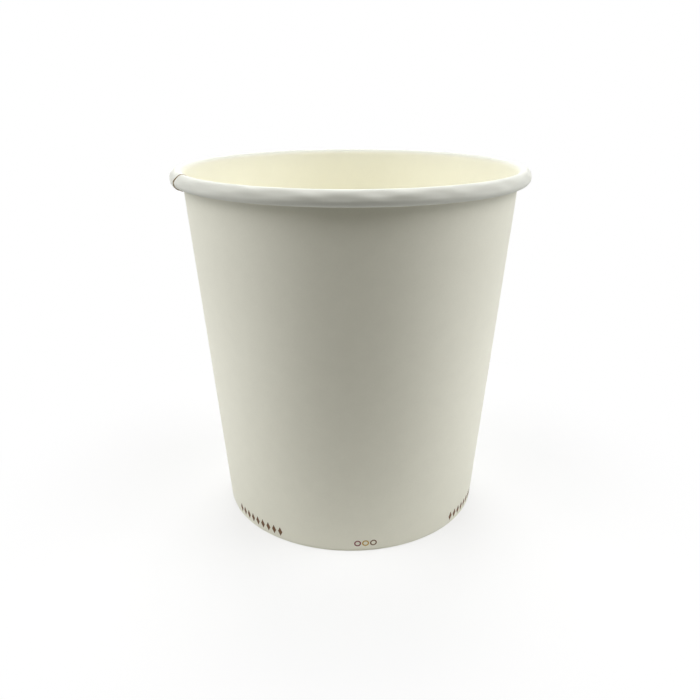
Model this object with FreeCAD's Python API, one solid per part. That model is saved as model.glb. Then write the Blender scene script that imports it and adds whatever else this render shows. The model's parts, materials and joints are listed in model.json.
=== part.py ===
import FreeCAD, Part
import math
import os

# Disposable soup container, made from two pieces of paperboard.
#
# The sidewall is one fan-shaped blank, wrapped into a cone and glued along a lapped seam. Its top
# edge is rolled outwards into a hollow bead, and its bottom edge is folded inwards and up as a hem.
# The bottom disc is a round blank whose turned-down skirt is held between the wall and the hem.
#
# Millimetres, +Z up. The origin is the centre of the ring that the container stands on.

# Overall
HEIGHT = 100.0  # base plane to the top of the rolled rim
RIM_DIAMETER = 98.0  # across the outside of the rolled rim, the size that a lid fits
BASE_DIAMETER = 76.4  # across the outside of the wall where it meets the base plane

# Sidewall board and its rolled rim
BOARD = 0.42  # thickness of the sidewall board
ROLL_WIDTH = 3.6  # outside width of the roll, seen in section
ROLL_DROP = 0.3  # upright stretch on the outer side of the roll
ROLL_GAP = 0.08  # between the roll's free edge and the wall

# Glued side seam
SEAM_ANGLE = 206.0  # direction of the inner ply's cut edge, degrees from +X
LAP_WIDTH = 8.0  # overlap of the two plies, measured round the rim
RAMP_WIDTH = 1.5  # length over which a board steps aside for another, measured round the rim

# Bottom disc, its skirt, and the hem that is folded round the skirt
BOTTOM_BOARD = 0.35  # thickness of the bottom board
BOTTOM_HEIGHT = 9.0  # base plane to the face that the food rests on
BEND_RADIUS = 0.4  # inside of the bend between the disc and its skirt
FOLD_RADIUS = 0.05  # inside of the two bends of the hem
GLUE = 0.02  # sealed film between the skirt and the board on each side of it
SKIRT_CLEARANCE = 0.3  # skirt's lower edge above the floor of the fold in the lap
HEM_CLEARANCE = 1.0  # hem's upper edge below the bend of the bottom disc

ROLL_RADIUS = ROLL_WIDTH / 2
RIM_RADIUS = RIM_DIAMETER / 2
BASE_RADIUS = BASE_DIAMETER / 2
FOLD_WIDTH = BOTTOM_BOARD + 2 * GLUE
BEND_OUTSIDE = BEND_RADIUS + BOTTOM_BOARD

# Angles round the axis. The inner ply ends at the first, and the outer ply at the second.
LAP_TURN = math.degrees(LAP_WIDTH / RIM_RADIUS)
RAMP_TURN = math.degrees(RAMP_WIDTH / RIM_RADIUS)
INNER_EDGE = SEAM_ANGLE
OUTER_EDGE = SEAM_ANGLE - LAP_TURN
SINGLE_START = INNER_EDGE + RAMP_TURN
SINGLE_END = OUTER_EDGE - RAMP_TURN
SINGLE_TURN = 360 - LAP_TURN - 2 * RAMP_TURN

# The wall's outer face starts at the base and runs up beside the roll, one board inside its skin.
# Sections are drawn with R outwards and Z up.
RISE = HEIGHT - ROLL_RADIUS
RUN = RIM_RADIUS - ROLL_RADIUS - BASE_RADIUS
SLOPE = math.atan2(RUN, RISE) - math.asin((ROLL_RADIUS - BOARD) / math.hypot(RUN, RISE))

# Radius of the bottom's flat plate, two boards clear of the bend where it stands furthest in.
PLATE_RADIUS = BASE_RADIUS - 2 * BOARD - GLUE - BEND_OUTSIDE - 2 * BOTTOM_BOARD

# Unit directions in the section: straight out of the wall's outer face, into it, and down.
OUT = (math.cos(SLOPE), -math.sin(SLOPE))
IN = (-OUT[0], -OUT[1])
DOWN = (0.0, -1.0)


def step(point, direction, length):
    """The section point that lies a length away from another, along a direction."""
    return (point[0] + length * direction[0], point[1] + length * direction[1])


def along(angle):
    """The direction at an angle in radians, from R towards Z."""
    return (math.cos(angle), math.sin(angle))


def beside_wall(z, inset):
    """The section point at a height, an inset inside the wall's outer face."""
    return (BASE_RADIUS + (z * math.sin(SLOPE) - inset) / math.cos(SLOPE), z)


def vector(point):
    return FreeCAD.Vector(point[0], 0, point[1])


def line(start, end):
    return Part.LineSegment(vector(start), vector(end)).toShape()


def arc(centre, radius, start, end):
    """An arc between two angles in radians, by way of the angle half-way between them."""
    points = [step(centre, along(angle), radius) for angle in (start, (start + end) / 2, end)]
    return Part.Arc(*[vector(p) for p in points]).toShape()


def bottom_bend(plies):
    """Centre of the bend between the bottom disc and its skirt, inside so many plies of the wall."""
    return beside_wall(BOTTOM_HEIGHT - BEND_OUTSIDE, plies * BOARD + GLUE + BEND_OUTSIDE)


def roll_radius(plies):
    """Radius of the roll's skin. The roll of two plies is fuller, with its top and outer side flush."""
    return ROLL_RADIUS + (plies - 1) * BOARD / (1 + math.cos(SLOPE) - math.sin(SLOPE))


def board_face(depth, plies):
    """Edges of a face of the sidewall board, from the hem's upper edge to the roll's free edge.

    A depth of 0 is the face that touches the food, and it is the roll's outer skin. Further depths
    lie behind it. Where two plies overlap, their outer face, top and base stay flush with the rest
    of the container, and the inner ply stands inwards by one board.
    """
    wall_inset = plies * BOARD
    fold_z = plies * BOARD + FOLD_RADIUS
    bend = FOLD_RADIUS + depth
    hem_bend = beside_wall(fold_z, wall_inset + FOLD_WIDTH - FOLD_RADIUS)
    wall_bend = beside_wall(fold_z, wall_inset + FOLD_RADIUS)
    hem_edge = beside_wall(bottom_bend(plies)[1] - HEM_CLEARANCE, wall_inset + FOLD_WIDTH)

    roll = roll_radius(plies)
    upper = (RIM_RADIUS - roll, HEIGHT - roll)
    lower = step(upper, DOWN, ROLL_DROP)
    skin = roll - depth
    to_wall = roll + ROLL_DROP * math.sin(SLOPE) - wall_inset - ROLL_GAP
    last = -SLOPE - math.acos(-to_wall / roll)

    return [
        line(step(hem_edge, IN, depth), step(hem_bend, IN, bend)),
        arc(hem_bend, bend, math.pi - SLOPE, 1.5 * math.pi),
        line(step(hem_bend, DOWN, bend), step(wall_bend, DOWN, bend)),
        arc(wall_bend, bend, -0.5 * math.pi, -SLOPE),
        line(step(wall_bend, OUT, bend), step(upper, IN, skin)),
        arc(upper, skin, math.pi - SLOPE, 0.0),
        line(step(upper, (1.0, 0.0), skin), step(lower, (1.0, 0.0), skin)),
        arc(lower, skin, 0.0, last),
    ]


def turned(outline, azimuth):
    """The outline of a section, turned from the plane of +X to the plane at an azimuth in degrees."""
    outline.rotate(FreeCAD.Vector(0, 0, 0), FreeCAD.Vector(0, 0, 1), azimuth)
    return outline


def board_section(front, back, plies, azimuth):
    """Closed outline of the sidewall board between two depths."""
    near = board_face(front, plies)
    far = board_face(back, plies)
    hem_end = Part.makeLine(far[0].Vertexes[0].Point, near[0].Vertexes[0].Point)
    roll_end = Part.makeLine(near[-1].Vertexes[-1].Point, far[-1].Vertexes[-1].Point)
    return turned(Part.Wire(near + [roll_end] + far[::-1] + [hem_end]), azimuth)


def skirt_section(plies, azimuth):
    """Closed outline of the bottom board from the edge of its flat plate to its skirt's lower edge."""
    bend = bottom_bend(plies)
    underside = BOTTOM_HEIGHT - BOTTOM_BOARD
    skirt_edge = beside_wall(2 * BOARD + SKIRT_CLEARANCE, plies * BOARD + GLUE)
    edges = [
        line((PLATE_RADIUS, BOTTOM_HEIGHT), (bend[0], BOTTOM_HEIGHT)),
        arc(bend, BEND_OUTSIDE, 0.5 * math.pi, -SLOPE),
        line(step(bend, OUT, BEND_OUTSIDE), skirt_edge),
        line(skirt_edge, step(skirt_edge, IN, BOTTOM_BOARD)),
        line(step(skirt_edge, IN, BOTTOM_BOARD), step(bend, OUT, BEND_RADIUS)),
        arc(bend, BEND_RADIUS, -SLOPE, 0.5 * math.pi),
        line((bend[0], underside), (PLATE_RADIUS, underside)),
        line((PLATE_RADIUS, underside), (PLATE_RADIUS, BOTTOM_HEIGHT)),
    ]
    return turned(Part.Wire(edges), azimuth)


def swept(outline, degrees):
    """Solid that an outline makes when it turns about the container's axis."""
    return Part.Face(outline).revolve(FreeCAD.Vector(0, 0, 0), FreeCAD.Vector(0, 0, 1), degrees)


def ramp(start, end):
    """Solid between two outlines that stand a ramp's width apart."""
    return Part.makeLoft([start, end], True, True)


def sidewall():
    single = swept(board_section(0, BOARD, 1, SINGLE_START), SINGLE_TURN)
    double = swept(board_section(0, 2 * BOARD, 2, OUTER_EDGE), LAP_TURN)
    # Past the inner ply's cut edge, the outer ply comes forward to the face of the single board.
    outer_ply_end = board_section(BOARD, 2 * BOARD, 2, INNER_EDGE)
    outer_ramp = ramp(outer_ply_end, board_section(0, BOARD, 1, SINGLE_START))
    # Before the outer ply's cut edge, the inner ply steps inwards to make room for it.
    inner_ply_end = board_section(0, BOARD, 2, OUTER_EDGE)
    inner_ramp = ramp(board_section(0, BOARD, 1, SINGLE_END), inner_ply_end)
    return single.fuse([double, outer_ramp, inner_ramp])


def bottom_disc():
    underside = FreeCAD.Vector(0, 0, BOTTOM_HEIGHT - BOTTOM_BOARD)
    plate = Part.makeCylinder(PLATE_RADIUS, BOTTOM_BOARD, underside)
    skirt = swept(skirt_section(1, SINGLE_START), SINGLE_TURN)
    # The skirt follows the inner ply inwards and back.
    skirt_in_lap = swept(skirt_section(2, OUTER_EDGE), LAP_TURN)
    outer_ramp = ramp(skirt_section(2, INNER_EDGE), skirt_section(1, SINGLE_START))
    inner_ramp = ramp(skirt_section(1, SINGLE_END), skirt_section(2, OUTER_EDGE))
    return plate.fuse([skirt, skirt_in_lap, outer_ramp, inner_ramp]).removeSplitter()


def main():
    os.makedirs("parts", exist_ok=True)
    for name, shape in (("sidewall", sidewall()), ("bottom_disc", bottom_disc())):
        shape.exportStep(os.path.join("parts", name + ".step"))
        print(name, shape.ShapeType, len(shape.Solids), "valid", shape.isValid(), round(shape.Volume, 1))


main()
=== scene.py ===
"""Disposable paper soup container: a lapped wall with a rolled rim, and a recessed bottom disc."""

import json
import math

import bpy
from mathutils import Euler, Matrix, Vector


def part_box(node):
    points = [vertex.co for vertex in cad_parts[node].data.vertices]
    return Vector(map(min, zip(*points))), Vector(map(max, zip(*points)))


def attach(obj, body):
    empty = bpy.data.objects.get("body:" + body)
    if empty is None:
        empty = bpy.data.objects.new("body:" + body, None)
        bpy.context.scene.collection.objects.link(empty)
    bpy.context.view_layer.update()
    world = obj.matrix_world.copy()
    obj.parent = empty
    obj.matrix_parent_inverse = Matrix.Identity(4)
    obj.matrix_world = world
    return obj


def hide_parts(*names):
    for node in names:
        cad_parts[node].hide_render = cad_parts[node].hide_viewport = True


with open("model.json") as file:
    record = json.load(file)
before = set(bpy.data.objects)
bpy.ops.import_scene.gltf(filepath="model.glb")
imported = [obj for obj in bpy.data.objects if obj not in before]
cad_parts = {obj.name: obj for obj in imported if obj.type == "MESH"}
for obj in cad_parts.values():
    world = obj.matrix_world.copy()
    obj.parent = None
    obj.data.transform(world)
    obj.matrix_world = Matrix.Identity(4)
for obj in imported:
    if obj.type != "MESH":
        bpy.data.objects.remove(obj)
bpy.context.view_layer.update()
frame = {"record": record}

bl_info = {
    "name": "Paper Soup Container",
    "version": (1, 0, 0),
    "blender": (4, 5, 0),
    "location": "3D View > Sidebar > Soup Container",
    "description": "Models a paperboard soup container with a lapped side seam and a rolled rim",
    "category": "Add Mesh",
}

MM = 0.001

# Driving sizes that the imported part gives.
WALL_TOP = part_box("sidewall")[1].z
BOTTOM_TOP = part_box("bottom_disc")[1].z
MOUNTS = {mount["name"]: mount for mount in frame["record"]["mounts"]}
RIM_DIAMETER = 2 * MOUNTS["lid_rim"]["dims"]["r_mm"] * MM

# The camera, with its tilt up from straight down, its pan to the left and its roll.
CAMERA_PLACE = (0, -0.2010, 0.1219)
CAMERA_TILT = math.radians(69.077)
CAMERA_PAN = math.radians(0.062)
CAMERA_ROLL = math.radians(-0.1)
CAMERA_SENSOR = 36  # width in millimetres, as Blender takes it, like the lens
CAMERA_LENS = 36.34
CAMERA_NEAR = 10 * MM

# Rows of printed lozenges: name, direction of the middle from +X, number of lozenges.
LOZENGE_ROWS = (
    ("lozenge_row_left", math.radians(225.5), 9),
    ("lozenge_row_right", math.radians(330.5), 8),
)
RING_MIDDLE = math.radians(276)  # direction of the middle one of the printed rings

# Studio lamps, as soft round panels of one size, aimed at the middle of the container: name, azimuth from
# the front towards the right and elevation in degrees, power in watts, and colour.
LAMPS = (
    ("back_lamp", 180, 35, 11.8, "#FFFFFF"),
    ("front_lamp", 0, 20, 1.7, "#FFF9E2"),
    ("low_left_lamp", -90, -20, 5.9, "#FFFFFF"),
    ("low_right_lamp", 90, -20, 6.1, "#FFFFFF"),
    ("left_lamp", -90, 35, 6.8, "#FFFFFF"),
    ("right_lamp", 90, 35, 7.9, "#FFFFFF"),
    ("upper_left_lamp", -60, 50, 5.5, "#FFFFFF"),
    ("upper_right_lamp", 60, 50, 4.6, "#FFFFFF"),
)
LAMP_AIM = Vector((0, 0, 0.05))
LAMP_DISTANCE = 1.3
LAMP_DIAMETER = 1.0

# The white table. Its reaches are distances from the container's foot.
TABLE_SIZE = 4
TABLE_REACH = 0.10  # how far out the table lights the container
TABLE_WHITE = 0.64  # how much light it reflects there
SHADOW_REACH = (0.05, 0.12)  # the shadow fades out between these
SHADOW_SHARE = 0.35  # how much of the table's white comes from the lamps, and so can be shadowed
SHADOW_BASE = 0.6  # how white the darkest shadow stays

TURN = 2 * math.pi
STEP_ANGLE = math.radians(0.75)  # turn of the sweep between two sections of the wall
SECTION_REACH = 0.01 * MM  # how far from its plane a vertex of a section may lie
SHARP_ANGLE = math.radians(50)  # faces that meet at more than this keep a sharp edge
MERGE_REACH = 0.01 * MM  # vertices nearer together than this are one

# Steps along the bends and straights of the wall's section, and of the bottom's.
FOLD_STEPS = 5
HEM_STEPS = 3
WALL_STEPS = 12
ROLL_TOP_STEPS = 26  # up from the wall and over to the roll's outer side
ROLL_UNDER_STEPS = 18  # on from there to the roll's free edge
PLATE_STEPS = 3
BEND_STEPS = 8
SKIRT_STEPS = 4

# Waves that add up to the puckers in the roll: height, number of waves as a share of the mean number,
# slant over the roll, and start.
PUCKER_WAVES = (
    (1.0, 1.0, 2.4, 0.0),
    (0.8, 0.62, -3.0, 1.9),
    (0.5, 1.7, 1.6, 0.7),
)
PUCKER_SIDE = 0.5  # direction from the roll's middle, up from outwards, in which it is dented most
SKEW_POWER = 0.8  # how the seam's slant grows over the roll: below 1, most of it comes early

# Widths of the patterns in the board and the ink. Single fibres are 0.03 mm wide, too fine to show, so
# the grain that they make is drawn as coarse as it needs to show.
CLOUD_WIDTH = 4 * MM
GRAIN_WIDTH = 0.4 * MM
INK_GRAIN_WIDTH = 0.3 * MM
ROLL_SHADE_START = 0.6  # inwards from the roll's crest to where its painted shade starts, in widths of the roll
ROLL_SHADE_FULL = 0.2  # and to where it is full

# Sockets of a Mix node that mixes colours.
FIRST_COLOUR = 6
SECOND_COLOUR = 7
MIXED_COLOUR = 2

RING_CORNERS = 48
LOZENGE_CUTS = 3  # cuts that let a lozenge bend round the wall


def linear(code):
    """The linear colour of an sRGB hex value such as #F2F0E6."""
    channels = [int(code[i : i + 2], 16) / 255 for i in (1, 3, 5)]
    return [c / 12.92 if c <= 0.04045 else ((c + 0.055) / 1.055) ** 2.4 for c in channels]


def length(name, description, default):
    return bpy.props.FloatProperty(
        name=name, description=description, default=default, min=0.0, precision=5, unit="LENGTH"
    )


def angle(name, description, default):
    return bpy.props.FloatProperty(name=name, description=description, default=default, subtype="ANGLE")


def colour(name, description, code):
    return bpy.props.FloatVectorProperty(
        name=name, description=description, default=linear(code), min=0.0, max=1.0, subtype="COLOR"
    )


class SoupContainerSizes(bpy.types.PropertyGroup):
    """Sizes of the two pieces of board and of the print."""

    height: length("Height", "From the table to the top of the rolled rim", WALL_TOP)
    rim_diameter: length("Rim diameter", "Across the outside of the rolled rim", RIM_DIAMETER)
    base_diameter: length("Base diameter", "Across the outside of the wall at the table", 76.4 * MM)
    board: length("Wall board", "Thickness of the sidewall board", 0.42 * MM)
    roll_width: length("Roll width", "Outside width of the rolled rim, seen in section", 3.6 * MM)
    roll_drop: length("Roll drop", "Upright stretch on the outer side of the roll", 0.3 * MM)
    roll_gap: length("Roll gap", "Between the roll's free edge and the wall", 0.08 * MM)
    seam_angle: angle("Seam direction", "Direction of the inner ply's cut edge, from +X", math.radians(206))
    lap_width: length("Lap", "Overlap of the two plies, measured round the rim", 8 * MM)
    ramp_width: length("Lap ramp", "Length over which one ply steps on to the other", 1.5 * MM)
    bottom_board: length("Bottom board", "Thickness of the bottom board", 0.35 * MM)
    bottom_height: length("Bottom height", "From the table to the face that the food rests on", BOTTOM_TOP)
    bend_radius: length("Bottom bend", "Inside of the bend between the bottom and its skirt", 0.4 * MM)
    fold_radius: length("Hem fold", "Inside of the two bends of the hem", 0.05 * MM)
    hem_clearance: length("Hem clearance", "Hem's upper edge below the bend of the bottom disc", 1.0 * MM)
    skirt_clearance: length("Skirt clearance", "Skirt's lower edge above the floor of the fold", 0.3 * MM)
    glue: length("Glue film", "Sealed film on each side of the bottom disc's skirt", 0.02 * MM)
    seam_skew: length("Seam skew", "How far the seam runs aslant over the roll", 1.9 * MM)
    pucker_depth: length("Pucker depth", "How deep the roll is dented between its puckers", 0.36 * MM)
    pucker_pitch: length("Pucker pitch", "Mean distance between two puckers, round the rim", 12 * MM)
    rib_depth: length("Rib depth", "How deep the sealing tool's ribs are pressed into the hem", 0.1 * MM)
    rib_pitch: length("Rib pitch", "Distance between two ribs, round the hem", 2 * MM)
    crease_width: length("Crease width", "From the middle of the lower crease to its upper side", 0.08 * MM)
    crease_depth: length("Crease depth", "How deep the outer face is creased at its lower fold", 0.3 * MM)
    print_height: length("Print height", "From the table to the middle of the print", 2.7 * MM)
    lozenge_width: length("Lozenge width", "Width of each lozenge of the printed rows", 1.5 * MM)
    lozenge_height: length("Lozenge height", "Height of each lozenge of the printed rows", 3.0 * MM)
    lozenge_pitch: length("Lozenge pitch", "Distance between two lozenges, round the wall", 2.2 * MM)
    ring_radius: length("Ring radius", "Outside radius of each printed ring", 0.95 * MM)
    ring_pitch: length("Ring pitch", "Distance between two rings, round the wall", 2.2 * MM)
    ring_line: length("Ring line", "Width of the line that draws each ring", 0.34 * MM)
    ink_film: length("Ink film", "Thickness of the ink", 0.01 * MM)


class SoupContainerColours(bpy.types.PropertyGroup):
    """Colours of the board, its lining and the inks."""

    outside: colour("Outside", "Matte outer face of the wall board", "#ECEBDD")
    lining: colour("Lining", "Coated face that touches the food", "#FBF9E8")
    # The rolled rim's tint is painted shade: greyer and darker than the lining, so the lit crest stays
    # below white.
    roll: colour("Roll", "The same face on the rolled rim, where it is stretched", "#E6E7DF")
    cut_edge: colour("Cut edge", "Raw fibres on the cut edges of the board", "#B8A68A")
    brown_ink: colour("Brown ink", "Rows of small lozenges near the base", "#6C4C30")
    red_ink: colour("Red ink", "First ring of the small mark", "#7B2F3A")
    gold_ink: colour("Gold ink", "Middle ring of the small mark", "#BC9A3C")


# Shapes in section: R outwards and Z up.


def wall_slope(sizes):
    """Lean of the wall in radians, at which its face runs on into the skin of the roll."""
    roll = sizes.roll_width / 2
    run = sizes.rim_diameter / 2 - roll - sizes.base_diameter / 2
    rise = sizes.height - roll
    return math.atan2(run, rise) - math.asin((roll - sizes.board) / math.hypot(run, rise))


def beside_wall(sizes, z, inset):
    """The section point at a height, an inset inside the wall's outer face."""
    slope = wall_slope(sizes)
    return Vector((sizes.base_diameter / 2 + (z * math.sin(slope) - inset) / math.cos(slope), z))


def arc(centre, radius, start, end, steps):
    """Section points along an arc between two angles in radians, both ends included."""
    angles = [start + (end - start) * i / steps for i in range(steps + 1)]
    return [centre + radius * Vector((math.cos(a), math.sin(a))) for a in angles]


def run(start, end, steps):
    """Section points between two points, without the points themselves."""
    return [start.lerp(end, i / steps) for i in range(1, steps)]


def bottom_bend(sizes, plies):
    """Centre of the bend between the bottom disc and its skirt, inside so many plies of the wall."""
    outside = sizes.bend_radius + sizes.bottom_board
    inset = plies * sizes.board + sizes.glue + outside
    return beside_wall(sizes, sizes.bottom_height - outside, inset)


def board_face(sizes, depth, plies):
    """Section of a face of the wall board, from the hem's upper edge to the roll's free edge.

    A depth of 0 is the face that touches the food, and it is the roll's outer skin. In the lap, where
    there are two plies, the outer face, the top and the base stay flush with the rest of the container,
    and the inner ply stands inwards by one board.
    """
    slope = wall_slope(sizes)
    inset = plies * sizes.board
    fold_z = inset + sizes.fold_radius
    fold_width = sizes.bottom_board + 2 * sizes.glue
    bend = sizes.fold_radius + depth
    hem_bend = beside_wall(sizes, fold_z, inset + fold_width - sizes.fold_radius)
    wall_bend = beside_wall(sizes, fold_z, inset + sizes.fold_radius)
    hem_edge = beside_wall(sizes, bottom_bend(sizes, plies).y - sizes.hem_clearance, inset + fold_width)
    hem_edge = hem_edge - depth * Vector((math.cos(slope), -math.sin(slope)))

    roll = sizes.roll_width / 2 + (inset - sizes.board) / (1 + math.cos(slope) - math.sin(slope))
    upper = Vector((sizes.rim_diameter / 2 - roll, sizes.height - roll))
    lower = upper - Vector((0, sizes.roll_drop))
    to_wall = roll + sizes.roll_drop * math.sin(slope) - inset - sizes.roll_gap
    last = -slope - math.acos(-to_wall / roll)

    hem_fold = arc(hem_bend, bend, math.pi - slope, 1.5 * math.pi, FOLD_STEPS)
    wall_fold = arc(wall_bend, bend, -0.5 * math.pi, -slope, FOLD_STEPS)
    over = arc(upper, roll - depth, math.pi - slope, 0, ROLL_TOP_STEPS)
    under = arc(lower, roll - depth, 0, last, ROLL_UNDER_STEPS)
    up = (over[0] - wall_fold[-1]).normalized()
    crease_end = wall_fold[-1] + sizes.crease_width * up
    return (
        [hem_edge]
        + run(hem_edge, hem_fold[0], HEM_STEPS)
        + hem_fold
        + wall_fold
        + [crease_end]
        + run(crease_end, over[0], WALL_STEPS)
        + over
        + under
    )


def skirt_face(sizes, plies):
    """Section of the upper face of the bottom board, from its flat plate to its skirt's lower edge."""
    bend = bottom_bend(sizes, plies)
    outside = sizes.bend_radius + sizes.bottom_board
    plate_edge = Vector((bottom_bend(sizes, 2).x - 2 * sizes.bottom_board, sizes.bottom_height))
    corner = arc(bend, outside, 0.5 * math.pi, -wall_slope(sizes), BEND_STEPS)
    skirt_z = 2 * sizes.board + sizes.skirt_clearance
    skirt_edge = beside_wall(sizes, skirt_z, plies * sizes.board + sizes.glue)
    plate = [plate_edge] + run(plate_edge, corner[0], PLATE_STEPS)
    return plate + corner + run(corner[-1], skirt_edge, SKIRT_STEPS) + [skirt_edge]


def on_wall(sizes, azimuth, height):
    """Place on the wall's outer face, and the turn that lays a flat shape there with its top upwards."""
    place = in_section(beside_wall(sizes, height, 0), azimuth)
    return place, (math.pi / 2 + wall_slope(sizes), 0, azimuth + math.pi / 2)


class Lap:
    """Angles round the axis at which the two plies of the side seam begin and end."""

    def __init__(self, sizes):
        rim_radius = sizes.rim_diameter / 2
        self.turn = sizes.lap_width / rim_radius
        self.ramp = sizes.ramp_width / rim_radius
        self.inner_edge = sizes.seam_angle
        self.outer_edge = sizes.seam_angle - self.turn
        self.single_start = self.inner_edge + self.ramp
        self.single_end = self.outer_edge - self.ramp
        self.single_turn = TURN - self.turn - 2 * self.ramp


# Modelling steps.


def select_only(*objects):
    bpy.ops.object.select_all(action="DESELECT")
    for obj in objects:
        obj.select_set(True)
    bpy.context.view_layer.objects.active = objects[0]


def in_section(point, azimuth):
    """The place of a section point in the plane at an azimuth."""
    return Vector((point.x * math.cos(azimuth), point.x * math.sin(azimuth), point.y))


def swept(name, section, start, turn):
    """A sheet made by drawing a section at an azimuth and spinning it about the container's axis.

    Spin turns clockwise seen from above, so its angle is the turn with its sign changed.
    """
    places = [in_section(point, start) for point in section]
    bpy.ops.object.select_all(action="DESELECT")
    bpy.ops.mesh.primitive_plane_add(size=MM, location=places[0])
    obj = bpy.context.object
    obj.name = obj.data.name = name
    bpy.ops.object.transform_apply(location=True)
    bpy.ops.object.mode_set(mode="EDIT")
    bpy.ops.mesh.select_all(action="SELECT")
    bpy.ops.mesh.merge(type="CENTER")
    for here, there in zip(places, places[1:]):
        bpy.ops.mesh.extrude_region_move(TRANSFORM_OT_translate={"value": there - here})
    bpy.ops.mesh.select_all(action="SELECT")
    steps = round(turn / STEP_ANGLE)
    bpy.ops.mesh.spin(steps=steps, angle=-turn, center=(0, 0, 0), axis=(0, 0, 1))
    bpy.ops.object.mode_set(mode="OBJECT")
    return obj


def mark_section(obj, name, azimuth):
    """Names the vertices that lie in the plane at an azimuth, as a vertex group."""
    across = Vector((-math.sin(azimuth), math.cos(azimuth), 0))
    along = Vector((math.cos(azimuth), math.sin(azimuth), 0))
    places = [(vertex.index, vertex.co) for vertex in obj.data.vertices]
    found = [index for index, co in places if abs(co.dot(across)) < SECTION_REACH and co.dot(along) > 0]
    obj.vertex_groups.new(name=name).add(found, 1.0, "REPLACE")


def bridge(obj, first, second, turn):
    """Joins two marked sections that lie a turn apart with faces."""
    bpy.ops.mesh.select_all(action="DESELECT")
    for name in (first, second):
        obj.vertex_groups.active = obj.vertex_groups[name]
        bpy.ops.object.vertex_group_select()
    bpy.ops.mesh.bridge_edge_loops(number_cuts=round(turn / STEP_ANGLE), interpolation="LINEAR")


def fill_plate(obj, sizes):
    """Closes the round hole in the bottom board, by drawing its edge in to the container's axis."""
    bpy.ops.mesh.select_all(action="DESELECT")
    bpy.ops.object.mode_set(mode="OBJECT")
    edge = skirt_face(sizes, 1)[0].x
    for vertex in obj.data.vertices:
        vertex.select = vertex.co.xy.length < edge + SECTION_REACH
    bpy.ops.object.mode_set(mode="EDIT")
    bpy.ops.mesh.extrude_region_move()
    bpy.ops.transform.resize(value=(0, 0, 1), center_override=(0, 0, sizes.bottom_height))


def face_towards(obj, wanted):
    """Turns the whole sheet over if its faces don't point the way that wanted(face) says."""
    agree = sum(face.normal.dot(wanted(face)) * face.area for face in obj.data.polygons)
    if agree < 0:
        bpy.ops.object.mode_set(mode="EDIT")
        bpy.ops.mesh.select_all(action="SELECT")
        bpy.ops.mesh.flip_normals()
        bpy.ops.object.mode_set(mode="OBJECT")


def apply_modifier(obj, kind, **settings):
    modifier = obj.modifiers.new(kind.title(), kind)
    for key, value in settings.items():
        setattr(modifier, key, value)
    bpy.ops.object.modifier_apply(modifier=modifier.name)


def press(obj, name, depth, weight):
    """Presses the faces of an object inwards, by a depth times the weight that weight(place) gives."""
    group = obj.vertex_groups.new(name=name)
    for vertex in obj.data.vertices:
        value = weight(vertex.co)
        if value > 0:
            group.add([vertex.index], value, "REPLACE")
    apply_modifier(obj, "DISPLACE", strength=-depth, mid_level=0, vertex_group=name)


def thicken(obj, board):
    """Gives a sheet its thickness behind its faces.

    The new faces there have the second of its materials, and the cut edges have the third.
    """
    apply_modifier(
        obj,
        "SOLIDIFY",
        thickness=board,
        offset=-1,
        use_even_offset=True,
        material_offset=1,
        material_offset_rim=2,
    )


# Materials.


def add_node(tree, kind, inputs=None, **settings):
    """Adds a node with its settings, and with a value or a link for each of its inputs."""
    node = tree.nodes.new(kind)
    for key, value in settings.items():
        setattr(node, key, value)
    for key, value in (inputs or {}).items():
        if isinstance(value, bpy.types.NodeSocket):
            tree.links.new(value, node.inputs[key])
        else:
            node.inputs[key].default_value = value
    return node


def new_material(name):
    """An empty node material and its tree."""
    material = bpy.data.materials.new(name)
    material.use_nodes = True
    material.node_tree.nodes.clear()
    return material, material.node_tree


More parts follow.
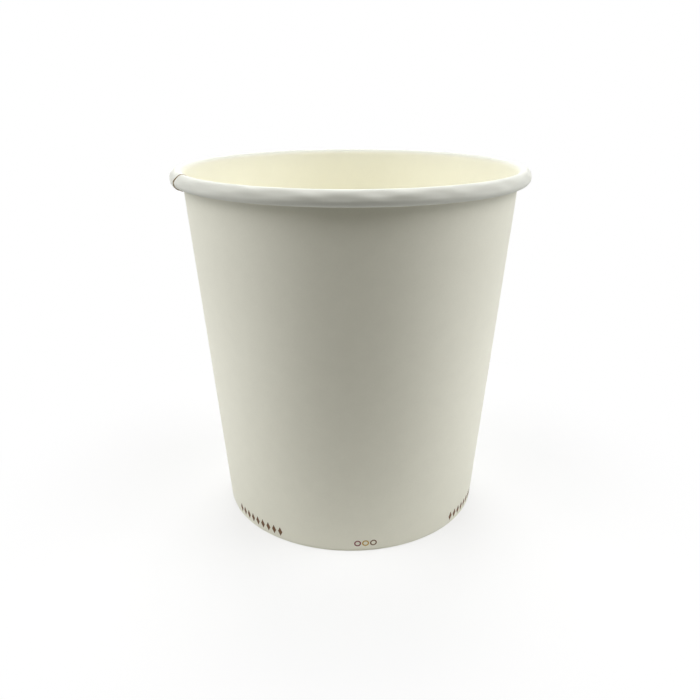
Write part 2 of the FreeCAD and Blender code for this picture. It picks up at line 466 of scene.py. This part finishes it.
def paperboard(name, tint, roughness, specular, cloud, relief, outer=None):
    """Paperboard: wood fibres laid wet and pressed smooth.

    The eye sees a flat pale colour with soft clouds where the fibres lie denser, and a fine felt-like
    grain that breaks up the highlight. The cloud is how far they darken and lighten the tint, and the
    relief is the grain's height. Where an outer tint is given, with the radii between which it takes
    over, the board goes over to it outwards.
    """
    material, tree = new_material(name)
    place = add_node(tree, "ShaderNodeTexCoord").outputs["Object"]
    base = [*tint, 1]
    if outer:
        outer_tint, start, end = outer
        flat = add_node(tree, "ShaderNodeVectorMath", {0: place, 1: (1, 1, 0)}, operation="MULTIPLY")
        radius = add_node(tree, "ShaderNodeVectorMath", {0: flat.outputs[0]}, operation="LENGTH")
        share = add_node(
            tree,
            "ShaderNodeMapRange",
            {"Value": radius.outputs["Value"], "From Min": start, "From Max": end},
            interpolation_type="SMOOTHSTEP",
        )
        base = add_node(
            tree,
            "ShaderNodeMix",
            {"Factor": share.outputs["Result"], FIRST_COLOUR: base, SECOND_COLOUR: [*outer_tint, 1]},
            data_type="RGBA",
        ).outputs[MIXED_COLOUR]
    # Clouds of fibre are 2 to 5 mm across in such board.
    clouds = add_node(
        tree,
        "ShaderNodeTexNoise",
        {"Vector": place, "Scale": 1 / CLOUD_WIDTH, "Detail": 3, "Roughness": 0.55},
    )
    # Felted fibres give the grain.
    grain = add_node(
        tree,
        "ShaderNodeTexNoise",
        {"Vector": place, "Scale": 1 / GRAIN_WIDTH, "Detail": 2, "Roughness": 0.6},
    )
    mix = add_node(
        tree, "ShaderNodeMath", {0: clouds.outputs["Fac"], 1: grain.outputs["Fac"]}, operation="ADD"
    )
    # The two patterns add up to between 0.6 and 1.4 nearly everywhere.
    tone = add_node(
        tree,
        "ShaderNodeMapRange",
        {
            "Value": mix.outputs[0],
            "From Min": 0.6,
            "From Max": 1.4,
            "To Min": 1 - cloud,
            "To Max": 1 + cloud,
        },
    )
    shade = add_node(
        tree,
        "ShaderNodeMix",
        {"Factor": 1.0, FIRST_COLOUR: base, SECOND_COLOUR: tone.outputs["Result"]},
        data_type="RGBA",
        blend_type="MULTIPLY",
    )
    bump = add_node(
        tree,
        "ShaderNodeBump",
        {"Strength": 1.0, "Distance": relief, "Height": grain.outputs["Fac"]},
    )
    shader = add_node(
        tree,
        "ShaderNodeBsdfPrincipled",
        {
            "Base Color": shade.outputs[MIXED_COLOUR],
            "Roughness": roughness,
            "Specular IOR Level": specular,
            "Normal": bump.outputs[0],
        },
    )
    add_node(tree, "ShaderNodeOutputMaterial", {"Surface": shader.outputs[0]})
    return material


def ink(name, tint):
    """Flexographic ink on board: matte, and a little thin where the board's grain stands lower."""
    material, tree = new_material(name)
    place = add_node(tree, "ShaderNodeTexCoord").outputs["Object"]
    # The ink is darker and lighter by 0.15 over the grain of the board under it.
    grain = add_node(
        tree, "ShaderNodeTexNoise", {"Vector": place, "Scale": 1 / INK_GRAIN_WIDTH, "Detail": 2}
    )
    tone = add_node(
        tree,
        "ShaderNodeMapRange",
        {"Value": grain.outputs["Fac"], "From Min": 0.3, "From Max": 0.7, "To Min": 0.85, "To Max": 1.15},
    )
    shade = add_node(
        tree,
        "ShaderNodeMix",
        {"Factor": 1.0, FIRST_COLOUR: [*tint, 1], SECOND_COLOUR: tone.outputs["Result"]},
        data_type="RGBA",
        blend_type="MULTIPLY",
    )
    shader = add_node(
        tree, "ShaderNodeBsdfPrincipled", {"Base Color": shade.outputs[MIXED_COLOUR], "Roughness": 0.7}
    )
    add_node(tree, "ShaderNodeOutputMaterial", {"Surface": shader.outputs[0]})
    return material


def outside_board(colours):
    """Paperboard pressed between rollers: matte and even, with only a faint sheen at a low angle."""
    return paperboard(
        "calendered_paperboard", colours.outside, roughness=0.75, specular=0.4, cloud=0.02, relief=0.01 * MM
    )


def lining_board(colours, sizes):
    """Paperboard coated from a water dispersion: creamy, and smoother because the coating fills the grain.

    On the rolled rim it turns a greyer, darker tint: painted shade that keeps the lit crest below white.
    """
    crest = sizes.rim_diameter / 2 - sizes.roll_width / 2
    start = crest - ROLL_SHADE_START * sizes.roll_width
    # The roll's tint is painted shade on its crest.
    outer = (colours.roll, start, crest - ROLL_SHADE_FULL * sizes.roll_width)
    return paperboard(
        "dispersion_coated_paperboard",
        colours.lining,
        roughness=0.65,
        specular=0.15,
        cloud=0.012,
        relief=0.006 * MM,
        outer=outer,
    )


def cut_board(colours):
    """Edge that a steel die has cut: raw fibres, brown, rough and with no sheen."""
    return paperboard(
        "die_cut_board_edge", colours.cut_edge, roughness=0.9, specular=0.2, cloud=0.08, relief=0.03 * MM
    )


def seen(tree):
    """1 for the rays that show the background to the eye, itself or in a gloss or glass, and else 0."""
    path = add_node(tree, "ShaderNodeLightPath")
    gloss = add_node(
        tree,
        "ShaderNodeMath",
        {0: path.outputs["Is Camera Ray"], 1: path.outputs["Is Glossy Ray"]},
        operation="MAXIMUM",
    )
    glass = add_node(
        tree,
        "ShaderNodeMath",
        {0: gloss.outputs[0], 1: path.outputs["Is Transmission Ray"]},
        operation="MAXIMUM",
    )
    return glass.outputs[0]


def grey(share):
    """The colour that reflects a share of all light alike."""
    return (share, share, share, 1)


def white_table():
    """Seamless white paper sweep under soft light.

    The eye sees plain white that greys only in the container's soft shadow. Round the container it
    reflects a little light on to it. Further off it reflects none and lets the light of the low lamps
    by, as a small table in a dark studio does.
    """
    material, tree = new_material("white_paper_sweep")
    place = add_node(tree, "ShaderNodeTexCoord").outputs["Object"]
    distance = add_node(tree, "ShaderNodeVectorMath", {0: place}, operation="LENGTH").outputs["Value"]
    near = add_node(
        tree, "ShaderNodeMath", {0: distance, 1: TABLE_REACH}, operation="LESS_THAN"
    ).outputs[0]
    far = add_node(
        tree,
        "ShaderNodeMapRange",
        {"Value": distance, "From Min": SHADOW_REACH[0], "From Max": SHADOW_REACH[1]},
        interpolation_type="SMOOTHSTEP",
    ).outputs["Result"]
    # What the eye sees: a white that the shadow greys near the container, and plain white further out.
    shadowed = add_node(tree, "ShaderNodeBsdfDiffuse", {"Color": grey(SHADOW_SHARE)}).outputs[0]
    base = add_node(tree, "ShaderNodeEmission", {"Strength": SHADOW_BASE}).outputs[0]
    white = add_node(tree, "ShaderNodeEmission").outputs[0]
    white_near = add_node(tree, "ShaderNodeAddShader", {0: shadowed, 1: base}).outputs[0]
    view = add_node(tree, "ShaderNodeMixShader", {0: far, 1: white_near, 2: white}).outputs[0]
    # What other light meets: white near the container, and nothing further out.
    reflecting = add_node(tree, "ShaderNodeBsdfDiffuse", {"Color": grey(TABLE_WHITE)}).outputs[0]
    open_space = add_node(tree, "ShaderNodeBsdfTransparent").outputs[0]
    unseen = add_node(tree, "ShaderNodeMixShader", {0: near, 1: open_space, 2: reflecting}).outputs[0]

    surface = add_node(tree, "ShaderNodeMixShader", {0: seen(tree), 1: unseen, 2: view}).outputs[0]
    add_node(tree, "ShaderNodeOutputMaterial", {"Surface": surface})
    return material


def white_studio():
    """White behind the container that casts no light on it."""
    world = bpy.data.worlds.new("white_studio")
    world.use_nodes = True
    tree = world.node_tree
    tree.nodes.clear()
    backdrop = add_node(tree, "ShaderNodeBackground", {"Color": (1, 1, 1, 1), "Strength": seen(tree)})
    add_node(tree, "ShaderNodeOutputWorld", {"Surface": backdrop.outputs[0]})
    return world


def pucker(sizes):
    """Weight of the shallow dents that rolling leaves in the rim, where the board gathers unevenly.

    They run aslant over the roll and come at uneven distances, so several waves are added up.
    """
    roll = sizes.roll_width / 2
    centre = Vector((sizes.rim_diameter / 2 - roll, sizes.height - roll))
    count = math.pi * sizes.rim_diameter / sizes.pucker_pitch
    highest = sum(height for height, share, slant, start in PUCKER_WAVES)

    def weight(place):
        azimuth = math.atan2(place.y, place.x)
        spoke = Vector((place.xy.length, place.z)) - centre
        if spoke.length > sizes.roll_width:
            return 0
        around = math.atan2(spoke.y, spoke.x)
        waves = sum(
            height * math.sin(round(share * count) * azimuth + slant * around + start)
            for height, share, slant, start in PUCKER_WAVES
        )
        return 0.5 * (1 + waves / highest) * max(0, math.cos(around - PUCKER_SIDE)) ** 2

    return weight


def skew_roll(obj, sizes):
    """Shears the roll round the rim, so that the seam runs aslant over it as rolling leaves it."""
    rim_radius = sizes.rim_diameter / 2
    roll = sizes.roll_width / 2
    centre = Vector((rim_radius - roll, sizes.height - roll))
    for vertex in obj.data.vertices:
        spoke = Vector((vertex.co.xy.length, vertex.co.z)) - centre
        if 0 < spoke.x and spoke.length < sizes.roll_width:
            share = (1 - max(0, spoke.normalized().y)) ** SKEW_POWER
            vertex.co.rotate(Euler((0, 0, -share * sizes.seam_skew / rim_radius)))


def crease(sizes):
    """Weight of the line that folding leaves in the outer face, along the upper end of the lower fold."""
    middle = sizes.board * (1 - math.sin(2 * wall_slope(sizes))) + sizes.fold_radius

    def weight(place):
        on_face = place.xy.length > beside_wall(sizes, place.z, sizes.board / 2).x
        return float(on_face and abs(place.z - middle) < sizes.crease_width / 2)

    return weight


def ribs(sizes):
    """Weight of the upright ribs that the sealing tool leaves on the inner side of the hem."""
    inset = sizes.board + sizes.bottom_board + 2 * sizes.glue
    face = beside_wall(sizes, 0, inset + sizes.board / 2).x
    top = bottom_bend(sizes, 1).y - sizes.hem_clearance
    count = round(TURN * face / sizes.rib_pitch)

    def weight(place):
        on_hem = place.xy.length < face + place.z * math.tan(wall_slope(sizes))
        if not on_hem or not 2 * sizes.board < place.z < top - sizes.board:
            return 0
        return 0.5 + 0.5 * math.cos(count * math.atan2(place.y, place.x))

    return weight


def print_film(name, shapes, wall, film, material):
    """Joins flat shapes into one thin film of ink that lies on the wall."""
    select_only(*shapes)
    if len(shapes) > 1:
        bpy.ops.object.join()
    obj = shapes[0]
    obj.name = obj.data.name = name
    apply_modifier(
        obj,
        "SHRINKWRAP",
        target=wall,
        wrap_method="NEAREST_SURFACEPOINT",
        wrap_mode="ABOVE_SURFACE",
        offset=film,
    )
    apply_modifier(obj, "SOLIDIFY", thickness=film, offset=1)
    obj.data.materials.append(material)
    dress(obj, None)
    return obj


def flat_shape(sizes, azimuth, corners, height, width):
    """Starts a flat shape with its corners on an ellipse, in place against the wall, in edit mode."""
    place, turned = on_wall(sizes, azimuth, sizes.print_height)
    bpy.ops.object.select_all(action="DESELECT")
    bpy.ops.mesh.primitive_circle_add(
        vertices=corners, radius=height / 2, fill_type="NGON", location=place, rotation=turned
    )
    bpy.context.object.scale.x = width / height
    bpy.ops.object.transform_apply()
    bpy.ops.object.mode_set(mode="EDIT")
    bpy.ops.mesh.select_all(action="SELECT")


def lozenge(sizes, azimuth):
    """A flat lozenge standing on its point, in place against the wall."""
    flat_shape(sizes, azimuth, 4, sizes.lozenge_height, sizes.lozenge_width)
    bpy.ops.mesh.subdivide(number_cuts=LOZENGE_CUTS)
    bpy.ops.object.mode_set(mode="OBJECT")
    return bpy.context.object


def ring(sizes, azimuth):
    """A flat open ring, in place against the wall."""
    flat_shape(sizes, azimuth, RING_CORNERS, 2 * sizes.ring_radius, 2 * sizes.ring_radius)
    bpy.ops.mesh.inset(thickness=sizes.ring_line)
    bpy.ops.mesh.delete(type="FACE")
    bpy.ops.object.mode_set(mode="OBJECT")
    return bpy.context.object


def dress(obj, node):
    """Gives a piece its body, and hides the imported node that it stands for."""
    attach(obj, "root")
    if node:
        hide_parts(node)


class SOUPCONTAINER_OT_sidewall(bpy.types.Operator):
    """Model the wall: one board wrapped round, lapped, rolled at its top and folded in at its base"""

    bl_idname = "soup_container.sidewall"
    bl_label = "Sidewall"

    def execute(self, context):
        sizes = context.scene.soup_container_sizes
        colours = context.scene.soup_container_colours
        lap = Lap(sizes)
        wall = swept("sidewall_board", board_face(sizes, 0, 1), lap.single_start, lap.single_turn)
        mark_section(wall, "single_start", lap.single_start)
        mark_section(wall, "single_end", lap.single_end)
        outer_ply = swept("outer_ply", board_face(sizes, sizes.board, 2), lap.outer_edge, lap.turn)
        mark_section(outer_ply, "outer_end", lap.inner_edge)
        inner_ply = swept("inner_ply", board_face(sizes, 0, 2), lap.outer_edge, lap.turn)
        mark_section(inner_ply, "inner_start", lap.outer_edge)

        select_only(wall, outer_ply, inner_ply)
        bpy.ops.object.join()
        bpy.ops.object.mode_set(mode="EDIT")
        bridge(wall, "outer_end", "single_start", lap.ramp)
        bridge(wall, "single_end", "inner_start", lap.ramp)
        bpy.ops.mesh.select_all(action="SELECT")
        bpy.ops.mesh.remove_doubles(threshold=MERGE_REACH)
        bpy.ops.mesh.normals_make_consistent(inside=False)
        bpy.ops.object.mode_set(mode="OBJECT")

        wall_top = sizes.height - sizes.roll_width
        fold_top = sizes.bottom_height

        def towards_food(face):
            return -face.center * (fold_top < face.center.z < wall_top)

        face_towards(wall, towards_food)
        skew_roll(wall, sizes)
        press(wall, "puckers", sizes.pucker_depth, pucker(sizes))
        for material in (lining_board(colours, sizes), outside_board(colours), cut_board(colours)):
            wall.data.materials.append(material)
        thicken(wall, sizes.board)
        press(wall, "ribs", sizes.rib_depth, ribs(sizes))
        press(wall, "crease", sizes.crease_depth, crease(sizes))
        bpy.ops.object.shade_smooth_by_angle(angle=SHARP_ANGLE)
        dress(wall, "sidewall")
        return {"FINISHED"}


class SOUPCONTAINER_OT_bottom_disc(bpy.types.Operator):
    """Model the bottom: a round board with its skirt turned down into the hem"""

    bl_idname = "soup_container.bottom_disc"
    bl_label = "Bottom disc"

    def execute(self, context):
        sizes = context.scene.soup_container_sizes
        colours = context.scene.soup_container_colours
        lap = Lap(sizes)
        disc = swept("bottom_board", skirt_face(sizes, 1), lap.single_start, lap.single_turn)
        mark_section(disc, "single_start", lap.single_start)
        mark_section(disc, "single_end", lap.single_end)
        in_lap = swept("skirt_in_lap", skirt_face(sizes, 2), lap.outer_edge, lap.turn)
        mark_section(in_lap, "lap_start", lap.outer_edge)
        mark_section(in_lap, "lap_end", lap.inner_edge)

        select_only(disc, in_lap)
        bpy.ops.object.join()
        bpy.ops.object.mode_set(mode="EDIT")
        bridge(disc, "lap_end", "single_start", lap.ramp)
        bridge(disc, "single_end", "lap_start", lap.ramp)
        fill_plate(disc, sizes)
        bpy.ops.mesh.select_all(action="SELECT")
        bpy.ops.mesh.remove_doubles(threshold=MERGE_REACH)
        bpy.ops.mesh.normals_make_consistent(inside=False)
        bpy.ops.object.mode_set(mode="OBJECT")
        face_towards(disc, lambda face: Vector((0, 0, 1)))
        for material in (lining_board(colours, sizes), outside_board(colours), cut_board(colours)):
            disc.data.materials.append(material)
        thicken(disc, sizes.bottom_board)
        bpy.ops.object.shade_smooth_by_angle(angle=SHARP_ANGLE)
        dress(disc, "bottom_disc")
        return {"FINISHED"}


class SOUPCONTAINER_OT_print(bpy.types.Operator):
    """Print the rows of brown lozenges and the three small rings on the wall near its base"""

    bl_idname = "soup_container.print"
    bl_label = "Print"

    def execute(self, context):
        sizes = context.scene.soup_container_sizes
        colours = context.scene.soup_container_colours
        wall = bpy.data.objects["sidewall_board"]
        radius = beside_wall(sizes, sizes.print_height, 0).x
        brown = ink("flexographic_ink_brown", colours.brown_ink)
        red = ink("flexographic_ink_dark_red", colours.red_ink)
        gold = ink("flexographic_ink_gold", colours.gold_ink)

        for name, middle, count in LOZENGE_ROWS:
            turn = sizes.lozenge_pitch / radius
            places = [middle + (i - (count - 1) / 2) * turn for i in range(count)]
            print_film(name, [lozenge(sizes, place) for place in places], wall, sizes.ink_film, brown)
        rings = (("ring_red", -1, red), ("ring_gold", 0, gold), ("ring_brown", 1, brown))
        for name, offset, material in rings:
            place = RING_MIDDLE + offset * sizes.ring_pitch / radius
            print_film(name, [ring(sizes, place)], wall, sizes.ink_film, material)
        return {"FINISHED"}


class SOUPCONTAINER_OT_stage(bpy.types.Operator):
    """Set up the pale floor, the studio light and the camera"""

    bl_idname = "soup_container.stage"
    bl_label = "Stage"

    def execute(self, context):
        scene = context.scene
        scene.view_settings.view_transform = "Standard"

        bpy.ops.object.select_all(action="DESELECT")
        bpy.ops.mesh.primitive_plane_add(size=TABLE_SIZE)
        floor = context.object
        floor.name = "floor"
        floor.data.materials.append(white_table())

        scene.world = white_studio()
        for name, azimuth, elevation, power, code in LAMPS:
            turned = Euler((math.radians(-elevation), 0, math.radians(azimuth))).to_matrix()
            spoke = turned @ Vector((0, -LAMP_DISTANCE, 0))
            bpy.ops.object.light_add(type="AREA", location=LAMP_AIM + spoke)
            lamp = context.object
            lamp.name = lamp.data.name = name
            lamp.data.shape = "DISK"
            lamp.data.size = LAMP_DIAMETER
            lamp.data.energy = power
            lamp.data.color = linear(code)
            lamp.rotation_euler = (-spoke).to_track_quat("-Z", "Y").to_euler()

        bpy.ops.object.camera_add(location=CAMERA_PLACE)
        camera = context.object
        aim = Euler((CAMERA_TILT, 0, CAMERA_PAN)).to_matrix() @ Matrix.Rotation(CAMERA_ROLL, 3, "Z")
        camera.rotation_euler = aim.to_euler()
        camera.data.lens = CAMERA_LENS
        camera.data.sensor_width = CAMERA_SENSOR
        camera.data.clip_start = CAMERA_NEAR
        scene.camera = camera
        return {"FINISHED"}


OPERATORS = (
    SOUPCONTAINER_OT_sidewall,
    SOUPCONTAINER_OT_bottom_disc,
    SOUPCONTAINER_OT_print,
    SOUPCONTAINER_OT_stage,
)


class SOUPCONTAINER_PT_sidebar(bpy.types.Panel):
    """Sizes, colours and steps of the soup container"""

    bl_idname = "SOUPCONTAINER_PT_sidebar"
    bl_label = "Soup Container"
    bl_space_type = "VIEW_3D"
    bl_region_type = "UI"
    bl_category = "Soup Container"

    def draw(self, context):
        for group in (context.scene.soup_container_sizes, context.scene.soup_container_colours):
            box = self.layout.box()
            for name in group.__annotations__:
                box.prop(group, name)
        for operator in OPERATORS:
            self.layout.operator(operator.bl_idname)


CLASSES = (SoupContainerSizes, SoupContainerColours, *OPERATORS, SOUPCONTAINER_PT_sidebar)


def register():
    for item in CLASSES:
        bpy.utils.register_class(item)
    bpy.types.Scene.soup_container_sizes = bpy.props.PointerProperty(type=SoupContainerSizes)
    bpy.types.Scene.soup_container_colours = bpy.props.PointerProperty(type=SoupContainerColours)


def unregister():
    del bpy.types.Scene.soup_container_colours
    del bpy.types.Scene.soup_container_sizes
    for item in reversed(CLASSES):
        bpy.utils.unregister_class(item)


def main():
    register()
    bpy.ops.soup_container.sidewall()
    bpy.ops.soup_container.bottom_disc()
    bpy.ops.soup_container.print()
    bpy.ops.soup_container.stage()


if __name__ == "__main__":
    main()
